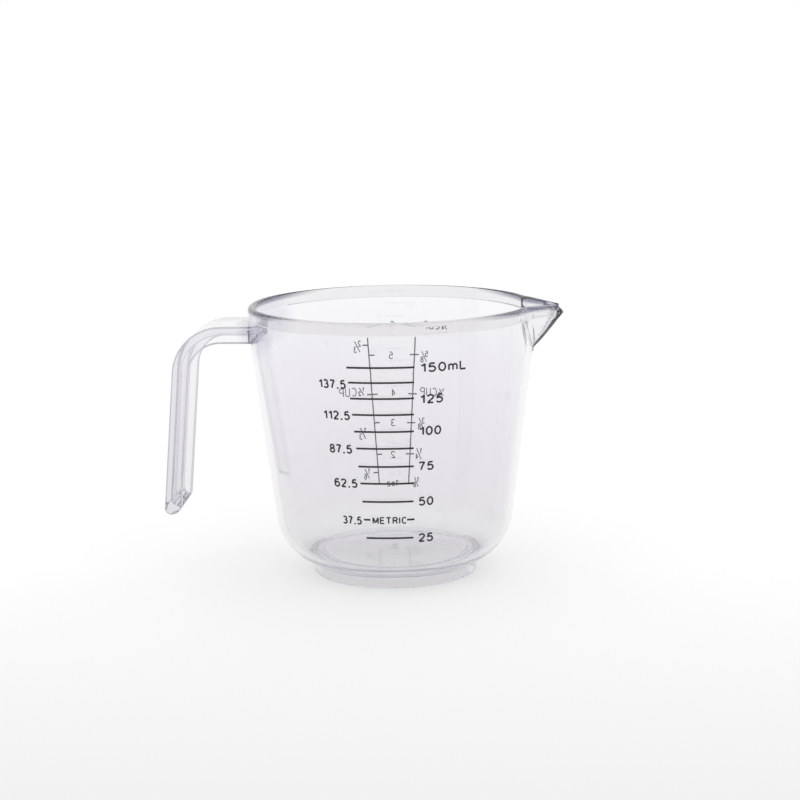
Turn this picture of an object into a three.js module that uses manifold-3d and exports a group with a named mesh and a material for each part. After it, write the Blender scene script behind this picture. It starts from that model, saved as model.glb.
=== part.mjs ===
// A clear moulded measuring cup with a pouring spout, a channel-section handle and printed scales.
// Millimetres, +Z up. The handle points to -X, the spout to +X and the millilitre scale to -Y.

import * as THREE from 'three';
import { mergeVertices } from 'three/addons/utils/BufferGeometryUtils.js';
import Module from 'manifold-3d';

// Bowl
const CUP_HEIGHT = 67.2;
const RIM_RADIUS = 35.3;
const RIM_BAND_HEIGHT = 3.1;
const RIM_BAND_PROUD = 0.6;
const RIM_EDGE_ROUND = 0.5;
const WALL_THICKNESS = 1.4;
const WALL_LEAN_DEGREES = 7.23;
const UPRIGHT_WALL_HEIGHT = 8.6;
const OUTER_CORNER_RADIUS = 13.6;
const FLOOR_THICKNESS = 1.5;
const INNER_FLOOR_RADIUS = 19.2;

// Foot ring
const FOOT_RADIUS = 20.35;
const FOOT_WALL = 2.05;
const FOOT_HEIGHT = 2.95;
const FOOT_RECESS_DEPTH = 3.9;
const FOOT_EDGE_ROUND = 0.4;

// Pouring spout
const SPOUT_OVERHANG = 7;
const SPOUT_START_DEGREES = 16;
const SPOUT_WIDEST_DROP = 2.45;
const SPOUT_ROOT_DROP = 11.4;
const SPOUT_NOSE_RADIUS = 1.7;
const SPOUT_LIP_DROP = 0.9;
const SPOUT_LIP_SETBACK = 0.9;
const SPOUT_WALL = 1.2;

// Handle
const HANDLE_WIDTH = 18;
const HANDLE_DEPTH = 4.2;
const HANDLE_DROP = 4.5;
const HANDLE_BOTTOM = 15.9;
const HANDLE_OVERHANG = 21.4;
const HANDLE_SPLAY_DEGREES = 4.95;
const HANDLE_BEND_RADIUS = 12.3;
const HANDLE_WEB = 1.8;
const HANDLE_FLANGE = 1.7;
const HANDLE_END_WALL = 1.7;
const HANDLE_OUTER_CORNER = 1.6;
const HANDLE_FREE_CORNER = 2.6;
const HANDLE_PAD_SEGMENTS = 9;
const HANDLE_PAD_FLAT_SEGMENTS = 4;

// Millilitre scale: the height of each mark as a share of the cup's height, from the top mark down,
// and where the bars end round the wall
const METRIC_MARKS = [
  ['150', 0.845],
  ['137_5', 0.792],
  ['125', 0.735],
  ['112_5', 0.677],
  ['100', 0.616],
  ['87_5', 0.555],
  ['75', 0.489],
  ['62_5', 0.427],
  ['50', 0.36],
  ['25', 0.225],
];
const METRIC_BAR_THICKNESS = 0.45;
const METRIC_BAR_END_DEGREES = -78;
const METRIC_BAR_START_DEGREES = -99.5;
const METRIC_BAR_SPREAD_DEGREES = 4.5;
const METRIC_DASH_SHARE = 0.293;
const METRIC_DASHES = [
  ['left', -100.3, -97.3],
  ['right', -80.9, -77.5],
];

// Rear scale: two rails with cross marks, each mark with its height as a share of the cup's height
// and its reach to both sides in degrees
const RAIL_TOP_SHARE = 0.805;
const RAIL_BOTTOM_SHARE = 0.219;
const RAIL_WIDTH = 0.35;
const RAIL_MARK_THICKNESS = 0.35;
const CUPS_RAIL = {
  topDegrees: 104.8,
  bottomDegrees: 101.6,
  marks: [[0.766, 0, 2.6], [0.726, 2.6, 0], [0.574, 2.6, 2.6], [0.463, 2.6, 0], [0.339, 2.6, 0], [0.268, 0, 2.6]],
};
const OUNCES_RAIL = {
  topDegrees: 83,
  bottomDegrees: 86.1,
  marks: [[0.726, 2.1, 2.1], [0.574, 2.1, 2.1], [0.461, 2.1, 2.1], [0.339, 2.1, 2.1], [0.222, 2.1, 2.1]],
};

// Fits and mesh fineness
const SEAM_GAP = 0.3;
const INK_CLEARANCE = 0.05;
const INK_THICKNESS = 0.1;
const CUT_MARGIN = 2;
const TURNED_SEGMENTS = 96;
const ARC_STEPS = 8;
const BEND_STEPS = 12;
const INK_STEP_DEGREES = 2.5;
const WELD_DISTANCE = 1e-4;

// Sizes that follow from the ones above
const degrees = THREE.MathUtils.degToRad;
const WALL_LEAN = degrees(WALL_LEAN_DEGREES);
const BAND_BOTTOM = CUP_HEIGHT - RIM_BAND_HEIGHT;
const WALL_RADIUS = RIM_RADIUS - RIM_BAND_PROUD;
const INNER_RADIUS = WALL_RADIUS - WALL_THICKNESS;
const LEAN_TOP = BAND_BOTTOM - UPRIGHT_WALL_HEIGHT;
const FLOOR_TOP = FOOT_RECESS_DEPTH + FLOOR_THICKNESS;
const SPOUT_REACH = RIM_RADIUS + SPOUT_OVERHANG;
const SPOUT_WIDEST_HEIGHT = CUP_HEIGHT - SPOUT_WIDEST_DROP;
const SPOUT_ROOT_HEIGHT = CUP_HEIGHT - SPOUT_ROOT_DROP;
const HANDLE_TOP = CUP_HEIGHT - HANDLE_DROP;
const HANDLE_REACH = RIM_RADIUS + HANDLE_OVERHANG;
const RAIL_TOP = RAIL_TOP_SHARE * CUP_HEIGHT;
const RAIL_BOTTOM = RAIL_BOTTOM_SHARE * CUP_HEIGHT;
const SEGMENT_ANGLE = (2 * Math.PI) / TURNED_SEGMENTS;

const wasm = await Module();
wasm.setup();

function solidOf(geometry) {
  const bare = geometry.clone();
  bare.deleteAttribute('normal');
  bare.deleteAttribute('uv');
  const welded = mergeVertices(bare, WELD_DISTANCE);
  const vertProperties = new Float32Array(welded.attributes.position.array);
  const triVerts = new Uint32Array(welded.index.array);
  return new wasm.Manifold(new wasm.Mesh({ numProp: 3, vertProperties, triVerts }));
}

function geometryOf(solid) {
  const mesh = solid.getMesh();
  const geometry = new THREE.BufferGeometry();
  geometry.setAttribute('position', new THREE.BufferAttribute(mesh.vertProperties, 3));
  geometry.setIndex(new THREE.BufferAttribute(mesh.triVerts, 1));
  geometry.computeVertexNormals();
  return geometry;
}

function turned(profile) {
  const points = profile.map(([radius, height]) => new THREE.Vector2(radius, height));
  const geometry = new THREE.LatheGeometry(points, TURNED_SEGMENTS);
  return geometry.rotateX(Math.PI / 2);
}

function arc(centreRadius, centreHeight, radius, fromAngle, toAngle, steps) {
  const points = [];
  for (let step = 0; step <= steps; step += 1) {
    const angle = fromAngle + ((toAngle - fromAngle) * step) / steps;
    points.push([centreRadius + radius * Math.cos(angle), centreHeight + radius * Math.sin(angle)]);
  }
  return points;
}

// Skin over a row of convex rings with equal point counts, closed at both ends
function loft(rings) {
  const count = rings[0].length;
  const positions = rings.flat().flatMap((point) => [point.x, point.y, point.z]);
  const indices = [];
  for (let ring = 0; ring < rings.length - 1; ring += 1) {
    for (let side = 0; side < count; side += 1) {
      const here = ring * count + side;
      const next = ring * count + ((side + 1) % count);
      indices.push(here, next, next + count, here, next + count, here + count);
    }
  }
  const last = (rings.length - 1) * count;
  for (let side = 1; side < count - 1; side += 1) {
    indices.push(0, side + 1, side);
    indices.push(last, last + side, last + side + 1);
  }
  const geometry = new THREE.BufferGeometry();
  geometry.setAttribute('position', new THREE.Float32BufferAttribute(positions, 3));
  geometry.setIndex(indices);
  geometry.computeVertexNormals();
  return geometry;
}

function onWall(radius, angle, height) {
  return new THREE.Vector3(radius * Math.cos(angle), radius * Math.sin(angle), height);
}

function wallRadius(height) {
  return WALL_RADIUS - Math.max(0, LEAN_TOP - height) * Math.tan(WALL_LEAN);
}

// Bottom corner arcs: the outer one runs from the foot ring and is tangent to the leaning wall,
// the inner one is tangent to the flat floor and to the inside of the wall
function outerCorner() {
  const wallDirection = new THREE.Vector2(Math.sin(WALL_LEAN), Math.cos(WALL_LEAN));
  const start = new THREE.Vector2(
    WALL_RADIUS - OUTER_CORNER_RADIUS * Math.cos(WALL_LEAN),
    LEAN_TOP + OUTER_CORNER_RADIUS * Math.sin(WALL_LEAN),
  );
  const foot = new THREE.Vector2(FOOT_RADIUS, FOOT_HEIGHT);
  const toStart = start.clone().sub(foot);
  const along = toStart.dot(wallDirection);
  const slide = along - Math.sqrt(along ** 2 - toStart.lengthSq() + OUTER_CORNER_RADIUS ** 2);
  const centre = start.addScaledVector(wallDirection, -slide);
  const footAngle = Math.atan2(foot.y - centre.y, foot.x - centre.x);
  return arc(centre.x, centre.y, OUTER_CORNER_RADIUS, footAngle, -WALL_LEAN, ARC_STEPS);
}

function innerCorner() {
  const lineOffset = WALL_RADIUS * Math.cos(WALL_LEAN) - LEAN_TOP * Math.sin(WALL_LEAN) - WALL_THICKNESS;
  const floorOffset = INNER_FLOOR_RADIUS * Math.cos(WALL_LEAN) - FLOOR_TOP * Math.sin(WALL_LEAN);
  const radius = (lineOffset - floorOffset) / (1 - Math.sin(WALL_LEAN));
  return arc(INNER_FLOOR_RADIUS, FLOOR_TOP + radius, radius, -WALL_LEAN, -Math.PI / 2, ARC_STEPS);
}

function makeBowlBody() {
  const innerLeanTop = LEAN_TOP + WALL_THICKNESS * Math.tan(WALL_LEAN / 2);
  return turned([
    [0, FOOT_RECESS_DEPTH],
    [FOOT_RADIUS - FOOT_WALL, FOOT_RECESS_DEPTH],
    ...outerCorner(),
    [WALL_RADIUS, LEAN_TOP],
    [WALL_RADIUS, BAND_BOTTOM],
    [INNER_RADIUS, BAND_BOTTOM],
    [INNER_RADIUS, innerLeanTop],
    ...innerCorner(),
    [0, FLOOR_TOP],
  ]);
}

// Where the handle joins, the wall is thickened until it is flush with the rim band
function makeHandlePad() {
  const rings = [];
  for (let step = -HANDLE_PAD_SEGMENTS; step <= HANDLE_PAD_SEGMENTS; step += 1) {
    const rise = Math.max(0, Math.abs(step) - HANDLE_PAD_FLAT_SEGMENTS);
    const share = rise / (HANDLE_PAD_SEGMENTS - HANDLE_PAD_FLAT_SEGMENTS + 1);
    const bottom = THREE.MathUtils.lerp(HANDLE_TOP - HANDLE_DEPTH, BAND_BOTTOM, share);
    const angle = Math.PI + step * SEGMENT_ANGLE;
    const inside = WALL_RADIUS - WALL_THICKNESS / 2;
    rings.push([
      onWall(inside, angle, bottom),
      onWall(inside, angle, BAND_BOTTOM),
      onWall(RIM_RADIUS, angle, BAND_BOTTOM),
      onWall(RIM_RADIUS, angle, bottom),
    ]);
  }
  return loft(rings);
}

function makeRimBand() {
  const outer = arc(RIM_RADIUS - RIM_EDGE_ROUND, CUP_HEIGHT - RIM_EDGE_ROUND, RIM_EDGE_ROUND, 0, Math.PI / 2, 3);
  const inner = arc(INNER_RADIUS + RIM_EDGE_ROUND, CUP_HEIGHT - RIM_EDGE_ROUND, RIM_EDGE_ROUND, Math.PI / 2, Math.PI, 3);
  return turned([
    [INNER_RADIUS, BAND_BOTTOM],
    [WALL_RADIUS, BAND_BOTTOM],
    [RIM_RADIUS, BAND_BOTTOM],
    ...outer,
    ...inner,
    [INNER_RADIUS, BAND_BOTTOM],
  ]);
}

function makeFootRing() {
  const inside = FOOT_RADIUS - FOOT_WALL;
  return turned([
    [inside, FOOT_EDGE_ROUND],
    [inside + FOOT_EDGE_ROUND, 0],
    [FOOT_RADIUS - FOOT_EDGE_ROUND, 0],
    [FOOT_RADIUS, FOOT_EDGE_ROUND],
    [FOOT_RADIUS, FOOT_HEIGHT],
    [inside, FOOT_RECESS_DEPTH],
    [inside, FOOT_EDGE_ROUND],
  ]);
}

// Plan outline of the spout at its widest height: a V with a round nose, from one start to the other
function spoutOutline() {
  const start = onWall(RIM_RADIUS, degrees(SPOUT_START_DEGREES), 0);
  const noseX = SPOUT_REACH - SPOUT_NOSE_RADIUS;
  const toStart = new THREE.Vector2(start.x - noseX, start.y);
  const tangent = toStart.angle() - Math.acos(SPOUT_NOSE_RADIUS / toStart.length());
  const nose = arc(noseX, 0, SPOUT_NOSE_RADIUS, -tangent, tangent, ARC_STEPS);
  return [[start.x, -start.y], ...nose, [start.x, start.y]];
}

// Solid cone from the spout's root on the wall up to its outline, then on to the sloping lip
function spoutSolid(setback, extraHeight) {
  const outline = spoutOutline();
  const [startX, startY] = outline[outline.length - 1];
  const rootX = wallRadius(SPOUT_ROOT_HEIGHT);
  const baseX = INNER_RADIUS - CUT_MARGIN;
  const lipScale = (SPOUT_REACH - SPOUT_LIP_SETBACK - startX) / (SPOUT_REACH - startX);
  const lipSlope = SPOUT_LIP_DROP / (SPOUT_REACH - SPOUT_LIP_SETBACK - startX);
  const rings = [];
  for (const share of [0.02, 1]) {
    const height = THREE.MathUtils.lerp(SPOUT_ROOT_HEIGHT, SPOUT_WIDEST_HEIGHT, share);
    const ring = outline.map(([x, y]) => [rootX + (x - rootX) * share, y * share]);
    ring.push([baseX, startY * share], [baseX, -startY * share]);
    rings.push(ring.map(([x, y]) => new THREE.Vector3(x - setback, y, height)));
  }
  const lip = outline.map(([x, y]) => [startX + (x - startX) * lipScale, y]);
  lip.push([baseX, startY], [baseX, -startY]);
  const lipHeight = (x) => CUP_HEIGHT - lipSlope * (x - startX) + extraHeight;
  rings.push(lip.map(([x, y]) => new THREE.Vector3(x - setback, y, lipHeight(x))));
  return solidOf(loft(rings));
}

function spoutSetback() {
  const lean = (SPOUT_REACH - wallRadius(SPOUT_ROOT_HEIGHT)) / (SPOUT_WIDEST_HEIGHT - SPOUT_ROOT_HEIGHT);
  return SPOUT_WALL * Math.hypot(1, lean);
}

// Space that the upper part of the cup fills, with the seam gap added, for trimming what joins it
function cupSpace(bandBottom) {
  const low = LEAN_TOP - CUT_MARGIN;
  return solidOf(turned([
    [0, low],
    [WALL_RADIUS + SEAM_GAP, low],
    [WALL_RADIUS + SEAM_GAP, bandBottom - SEAM_GAP],
    [RIM_RADIUS + SEAM_GAP, bandBottom - SEAM_GAP],
    [RIM_RADIUS + SEAM_GAP, CUP_HEIGHT + CUT_MARGIN],
    [0, CUP_HEIGHT + CUT_MARGIN],
  ]));
}

// Handle side view: a point given by its distance along the outer edge and its depth below that edge
const HANDLE_SPLAY = degrees(HANDLE_SPLAY_DEGREES);
const BEND_HEIGHT = HANDLE_TOP - HANDLE_BEND_RADIUS;
const BEND_REACH = HANDLE_REACH
  - (BEND_HEIGHT - HANDLE_BOTTOM) * Math.tan(HANDLE_SPLAY)
  - HANDLE_BEND_RADIUS / Math.cos(HANDLE_SPLAY);
const ARM_LENGTH = BEND_REACH - INNER_RADIUS;
const BEND_SWEEP = Math.PI / 2 - HANDLE_SPLAY;
const GRIP_START = ARM_LENGTH + HANDLE_BEND_RADIUS * BEND_SWEEP;
const GRIP_LENGTH = (BEND_HEIGHT + HANDLE_BEND_RADIUS * Math.sin(HANDLE_SPLAY) - HANDLE_BOTTOM)
  / Math.cos(HANDLE_SPLAY);
const HANDLE_LENGTH = GRIP_START + GRIP_LENGTH;

function handlePoint(along, depth) {
  if (along <= ARM_LENGTH) {
    return new THREE.Vector2(-INNER_RADIUS - along, HANDLE_TOP - depth);
  }
  const turn = Math.min((along - ARM_LENGTH) / HANDLE_BEND_RADIUS, BEND_SWEEP);
  const radius = HANDLE_BEND_RADIUS - depth;
  const point = new THREE.Vector2(-BEND_REACH - radius * Math.sin(turn), BEND_HEIGHT + radius * Math.cos(turn));
  const down = Math.max(0, along - GRIP_START);
  return point.add(new THREE.Vector2(-Math.sin(HANDLE_SPLAY), -Math.cos(HANDLE_SPLAY)).multiplyScalar(down));
}

function handleStops(end) {
  const stops = [0];
  for (let step = 0; step <= BEND_STEPS; step += 1) {
    stops.push(ARM_LENGTH + ((GRIP_START - ARM_LENGTH) * step) / BEND_STEPS);
  }
  return [...stops, end];
}

function sidePlate(outline, width) {
  const shape = new THREE.Shape(outline.map(([along, depth]) => handlePoint(along, depth)));
  const geometry = new THREE.ExtrudeGeometry(shape, { depth: width, bevelEnabled: false });
  geometry.rotateX(Math.PI / 2);
  geometry.translate(0, width / 2, 0);
  return solidOf(geometry);
}

function makeHandle() {
  const outerCornerArc = arc(
    HANDLE_LENGTH - HANDLE_OUTER_CORNER, HANDLE_OUTER_CORNER, HANDLE_OUTER_CORNER, -Math.PI / 2, 0, 4,
  );
  const freeCornerArc = arc(
    HANDLE_LENGTH - HANDLE_FREE_CORNER, HANDLE_DEPTH - HANDLE_FREE_CORNER, HANDLE_FREE_CORNER, 0, Math.PI / 2, 4,
  );
  const outerEdge = handleStops(HANDLE_LENGTH).slice(0, -1).map((along) => [along, 0]);
  const freeEdge = outerEdge.map(([along]) => [along, HANDLE_DEPTH]).reverse();
  const body = sidePlate([...outerEdge, ...outerCornerArc, ...freeCornerArc, ...freeEdge], HANDLE_WIDTH);
  const recessStops = handleStops(HANDLE_LENGTH - HANDLE_END_WALL);
  const recessFloor = recessStops.map((along) => [along, HANDLE_WEB]);
  const recessMouth = recessStops.map((along) => [along, HANDLE_DEPTH + CUT_MARGIN]).reverse();
  const recess = sidePlate([...recessFloor, ...recessMouth], HANDLE_WIDTH - 2 * HANDLE_FLANGE);
  const joint = HANDLE_TOP - HANDLE_DEPTH;
  return geometryOf(body.subtract(recess).subtract(cupSpace(joint)));
}

// A printed bar that follows the wall, from one angle to another in degrees
function wallBar(fromDegrees, toDegrees, height, thickness) {
  const steps = Math.max(1, Math.ceil((toDegrees - fromDegrees) / INK_STEP_DEGREES));
  const low = height - thickness / 2;
  const high = height + thickness / 2;
  const inner = INK_CLEARANCE;
  const outer = INK_CLEARANCE + INK_THICKNESS;
  const rings = [];
  for (let step = 0; step <= steps; step += 1) {
    const angle = degrees(THREE.MathUtils.lerp(fromDegrees, toDegrees, step / steps));
    rings.push([
      onWall(wallRadius(low) + inner, angle, low),
      onWall(wallRadius(high) + inner, angle, high),
      onWall(wallRadius(high) + outer, angle, high),
      onWall(wallRadius(low) + outer, angle, low),
    ]);
  }
  return loft(rings);
}

function railDegrees(rail, height) {
  const share = (height - RAIL_BOTTOM) / (RAIL_TOP - RAIL_BOTTOM);
  return THREE.MathUtils.lerp(rail.bottomDegrees, rail.topDegrees, share);
}

function makeRail(rail) {
  const halfTurn = RAIL_WIDTH / 2 / WALL_RADIUS;
  const bend = THREE.MathUtils.clamp(LEAN_TOP, RAIL_BOTTOM, RAIL_TOP);
  const heights = [...new Set([RAIL_BOTTOM, bend, RAIL_TOP])];
  const rings = heights.map((height) => {
    const angle = degrees(railDegrees(rail, height));
    const inner = wallRadius(height) + INK_CLEARANCE;
    const outer = inner + INK_THICKNESS;
    return [
      onWall(inner, angle - halfTurn, height),
      onWall(outer, angle - halfTurn, height),
      onWall(outer, angle + halfTurn, height),
      onWall(inner, angle + halfTurn, height),
    ];
  });
  let solid = solidOf(loft(rings));
  for (const [share, before, after] of rail.marks) {
    const height = share * CUP_HEIGHT;
    const centre = railDegrees(rail, height);
    const mark = wallBar(centre - before, centre + after, height, RAIL_MARK_THICKNESS);
    solid = solid.add(solidOf(mark));
  }
  return geometryOf(solid);
}

// Materials
const clearPlastic = new THREE.MeshStandardMaterial({
  name: 'clear_plastic',
  color: '#f0f0f5',
  roughness: 0.06,
  metalness: 0,
  transparent: true,
  opacity: 0.35,
});
const blackInk = new THREE.MeshStandardMaterial({
  name: 'black_ink',
  color: '#1d1c20',
  roughness: 0.5,
  metalness: 0,
});
const greyInk = new THREE.MeshStandardMaterial({
  name: 'grey_ink',
  color: '#55545a',
  roughness: 0.5,
  metalness: 0,
});

// Assembly
const cup = new THREE.Group();
cup.name = 'measuring_cup';

function addPart(name, geometry, material) {
  const mesh = new THREE.Mesh(geometry, material);
  mesh.name = name;
  cup.add(mesh);
}

const setback = spoutSetback();
const spoutChannel = spoutSolid(setback, CUT_MARGIN);
const bowl = solidOf(makeBowlBody()).add(solidOf(makeHandlePad())).subtract(spoutChannel);
addPart('bowl', geometryOf(bowl), clearPlastic);
addPart('foot_ring', makeFootRing(), clearPlastic);
addPart('rim_band', geometryOf(solidOf(makeRimBand()).subtract(spoutChannel)), clearPlastic);
const spout = spoutSolid(0, 0).subtract(spoutChannel).subtract(cupSpace(BAND_BOTTOM));
addPart('pouring_spout', geometryOf(spout), clearPlastic);
addPart('handle', makeHandle(), clearPlastic);

const [topShare, bottomShare] = [METRIC_MARKS[0][1], METRIC_MARKS[METRIC_MARKS.length - 1][1]];
for (const [label, share] of METRIC_MARKS) {
  const climb = (share - bottomShare) / (topShare - bottomShare);
  const start = METRIC_BAR_START_DEGREES - METRIC_BAR_SPREAD_DEGREES * climb;
  const bar = wallBar(start, METRIC_BAR_END_DEGREES, share * CUP_HEIGHT, METRIC_BAR_THICKNESS);
  addPart(`bar_${label}_ml`, bar, blackInk);
}
for (const [side, from, to] of METRIC_DASHES) {
  const dash = wallBar(from, to, METRIC_DASH_SHARE * CUP_HEIGHT, METRIC_BAR_THICKNESS);
  addPart(`dash_37_5_ml_${side}`, dash, blackInk);
}
addPart('rear_rail_cups', makeRail(CUPS_RAIL), greyInk);
addPart('rear_rail_ounces', makeRail(OUNCES_RAIL), greyInk);

// The frame's origin is the middle of the footprint box, on the table
const middle = new THREE.Box3().setFromObject(cup).getCenter(new THREE.Vector3());
for (const part of cup.children) {
  part.geometry.translate(-middle.x, -middle.y, 0);
}

export default cup;
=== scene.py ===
import math

import bpy
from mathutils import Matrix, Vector


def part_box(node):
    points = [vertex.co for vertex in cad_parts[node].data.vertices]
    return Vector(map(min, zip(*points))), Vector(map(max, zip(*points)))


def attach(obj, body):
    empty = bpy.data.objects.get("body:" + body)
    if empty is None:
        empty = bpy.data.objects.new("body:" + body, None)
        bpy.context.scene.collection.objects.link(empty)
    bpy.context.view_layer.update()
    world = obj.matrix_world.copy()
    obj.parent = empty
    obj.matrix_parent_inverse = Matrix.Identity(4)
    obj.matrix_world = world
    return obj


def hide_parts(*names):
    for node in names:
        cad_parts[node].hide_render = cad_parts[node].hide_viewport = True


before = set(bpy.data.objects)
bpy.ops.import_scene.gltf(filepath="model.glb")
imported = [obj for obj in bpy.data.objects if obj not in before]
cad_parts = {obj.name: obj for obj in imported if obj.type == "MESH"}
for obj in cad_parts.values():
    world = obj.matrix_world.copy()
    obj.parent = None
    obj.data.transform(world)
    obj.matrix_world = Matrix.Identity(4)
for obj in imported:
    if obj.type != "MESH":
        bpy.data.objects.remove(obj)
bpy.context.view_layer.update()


# The clear moulding: bowl, rim band, pouring spout and foot ring in one shot of clear polystyrene.
# Its section is drawn as an open line from the axis under the floor, round the wall and rim and back
# to the axis on the floor, and spun about the cup's axis, more finely where the spout is. All in mm.
MM = 0.001


def box_mm(node):
    return [[round(value / MM, 3) for value in corner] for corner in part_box(node)]


AXIS_X = (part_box("foot_ring")[0].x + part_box("foot_ring")[1].x) / 2
CUP_HEIGHT = box_mm("rim_band")[1][2]
RIM_RADIUS = box_mm("rim_band")[1][1]
BAND_BOTTOM = box_mm("rim_band")[0][2]
WALL_RADIUS = box_mm("bowl")[1][1]
FOOT_HEIGHT = box_mm("bowl")[0][2]
FOOT_RADIUS = box_mm("foot_ring")[1][1]
RECESS_DEPTH = box_mm("foot_ring")[1][2]
RECESS_RADIUS = 18.3
WALL = 1.4
INNER_RADIUS = WALL_RADIUS - WALL
LEAN = math.radians(7.23)
LEAN_TOP = 55.5
LEAN_BLEND = 12
CORNER_RADIUS = 13.6
FLOOR_TOP = 5.4
FLOOR_FILLET = 5.6
WITNESS_RING = 19.95
WITNESS_HALF_WIDTH = 0.2
WITNESS_DEPTH = 0.15
GATE_DIMPLE = (1.0, 0.8)
GATE_PIP = (0.8, 0.5)
RIM_ROUND = 0.95
BAND_ROUND = 0.2
BAND_FILLET = 0.15
FOOT_FILLET = 0.2
FOOT_FILLET_DROP = 0.45
SEAT_ROUND = 0.45
SEAT_INNER_ROUND = 0.35
RECESS_ROUND = 0.4
STRAIGHT_LENGTH = 21.5
STRAIGHT_MARGIN = 1.5
BLEND_MARGIN = 1.1
BAND_MARGIN = 0.5
RIM_MARGIN = 1.2
FLOOR_ROW = 9
SPOUT_ZONE = math.radians(21)
SPOUT_STEPS = 140
ROUND_STEPS = 212


def arc(centre, radius, start, end, steps):
    angles = [start + (end - start) * step / steps for step in range(steps + 1)]
    return [(centre[0] + radius * math.cos(a), centre[1] + radius * math.sin(a)) for a in angles]


def rows(start, end, steps):
    return [
        (start[0] + (end[0] - start[0]) * step / steps, start[1] + (end[1] - start[1]) * step / steps)
        for step in range(steps + 1)
    ]


def cup_section():
    sin, cos, tan = math.sin(LEAN), math.cos(LEAN), math.tan(LEAN)
    start = (WALL_RADIUS - CORNER_RADIUS * cos, LEAN_TOP + CORNER_RADIUS * sin)
    to_start = (start[0] - FOOT_RADIUS, start[1] - FOOT_HEIGHT)
    along = to_start[0] * sin + to_start[1] * cos
    slide = along - math.sqrt(along**2 - to_start[0] ** 2 - to_start[1] ** 2 + CORNER_RADIUS**2)
    centre = (start[0] - slide * sin, start[1] - slide * cos)
    foot_angle = math.atan2(FOOT_HEIGHT - centre[1], FOOT_RADIUS - centre[0])
    outside = arc(centre, CORNER_RADIUS, foot_angle, -LEAN, 20)
    to_fillet = centre[1] - FLOOR_TOP - FLOOR_FILLET
    join = math.asin(to_fillet / (CORNER_RADIUS - WALL - FLOOR_FILLET))
    inside = arc(centre, CORNER_RADIUS - WALL, -LEAN, -join, 12)
    fillet_x = centre[0] + to_fillet / math.tan(join)
    inside += arc((fillet_x, FLOOR_TOP + FLOOR_FILLET), FLOOR_FILLET, -join, -math.pi / 2, 10)[1:]
    half_tan = math.tan(LEAN / 2)
    inner_top = LEAN_TOP + WALL * half_tan
    inner_blend = LEAN_BLEND - WALL
    blend_centre = (INNER_RADIUS - inner_blend, inner_top + inner_blend * half_tan)
    quarter = math.pi / 2
    return [
        (0, RECESS_DEPTH - GATE_DIMPLE[1]), (GATE_DIMPLE[0], RECESS_DEPTH), (FLOOR_ROW, RECESS_DEPTH),
        *arc((RECESS_RADIUS - RECESS_ROUND, RECESS_DEPTH - RECESS_ROUND), RECESS_ROUND, quarter, 0, 3),
        *arc((RECESS_RADIUS + SEAT_INNER_ROUND, SEAT_INNER_ROUND), SEAT_INNER_ROUND, math.pi, 3 * quarter, 4),
        *arc((FOOT_RADIUS - SEAT_ROUND, SEAT_ROUND), SEAT_ROUND, -quarter, 0, 4),
        *arc((FOOT_RADIUS + FOOT_FILLET, FOOT_HEIGHT - FOOT_FILLET_DROP), FOOT_FILLET, math.pi, quarter, 2),
        *outside[1:],
        *rows(
            (WALL_RADIUS - tan * STRAIGHT_LENGTH, LEAN_TOP - STRAIGHT_LENGTH),
            (WALL_RADIUS - tan * STRAIGHT_MARGIN, LEAN_TOP - STRAIGHT_MARGIN), 6,
        ),
        *arc((WALL_RADIUS - LEAN_BLEND, LEAN_TOP + LEAN_BLEND * half_tan), LEAN_BLEND, -LEAN, 0, 6),
        *rows((WALL_RADIUS, LEAN_TOP + BLEND_MARGIN), (WALL_RADIUS, BAND_BOTTOM - 2 * BAND_FILLET), 32),
        *arc((WALL_RADIUS + BAND_FILLET, BAND_BOTTOM - BAND_FILLET), BAND_FILLET, math.pi, quarter, 2),
        *arc((RIM_RADIUS - BAND_ROUND, BAND_BOTTOM + BAND_ROUND), BAND_ROUND, -quarter, 0, 2),
        *rows((RIM_RADIUS, BAND_BOTTOM + BAND_MARGIN), (RIM_RADIUS, CUP_HEIGHT - RIM_MARGIN), 6),
        *arc((RIM_RADIUS - RIM_ROUND, CUP_HEIGHT - RIM_ROUND), RIM_ROUND, 0, quarter, 10),
        *arc((INNER_RADIUS + RIM_ROUND, CUP_HEIGHT - RIM_ROUND), RIM_ROUND, quarter, math.pi, 10),
        *rows((INNER_RADIUS, CUP_HEIGHT - RIM_MARGIN), (INNER_RADIUS, inner_top + BLEND_MARGIN), 42),
        *reversed(arc(blend_centre, inner_blend, -LEAN, 0, 6)),
        *rows(
            (INNER_RADIUS - tan * STRAIGHT_MARGIN, inner_top - STRAIGHT_MARGIN),
            (INNER_RADIUS - tan * STRAIGHT_LENGTH, inner_top - STRAIGHT_LENGTH), 6,
        ),
        *inside,
        (WITNESS_RING + WITNESS_HALF_WIDTH, FLOOR_TOP),
        (WITNESS_RING + WITNESS_HALF_WIDTH / 2, FLOOR_TOP - WITNESS_DEPTH),
        (WITNESS_RING - WITNESS_HALF_WIDTH / 2, FLOOR_TOP - WITNESS_DEPTH),
        (WITNESS_RING - WITNESS_HALF_WIDTH, FLOOR_TOP),
        (FLOOR_ROW, FLOOR_TOP), (GATE_PIP[0], FLOOR_TOP), (0, FLOOR_TOP + GATE_PIP[1]),
    ]


def draw_line(name, points):
    bpy.ops.object.select_all(action="DESELECT")
    bpy.ops.mesh.primitive_plane_add(size=MM, location=(0, 0, 0))
    piece = bpy.context.object
    piece.name = name
    piece.data.name = name
    bpy.ops.object.mode_set(mode="EDIT")
    bpy.ops.mesh.select_all(action="SELECT")
    bpy.ops.mesh.merge(type="CENTER")
    bpy.ops.transform.translate(value=points[0])
    for here, there in zip(points, points[1:]):
        step = tuple(there[k] - here[k] for k in range(3))
        bpy.ops.mesh.extrude_region_move(TRANSFORM_OT_translate={"value": step})
    return piece


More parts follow.
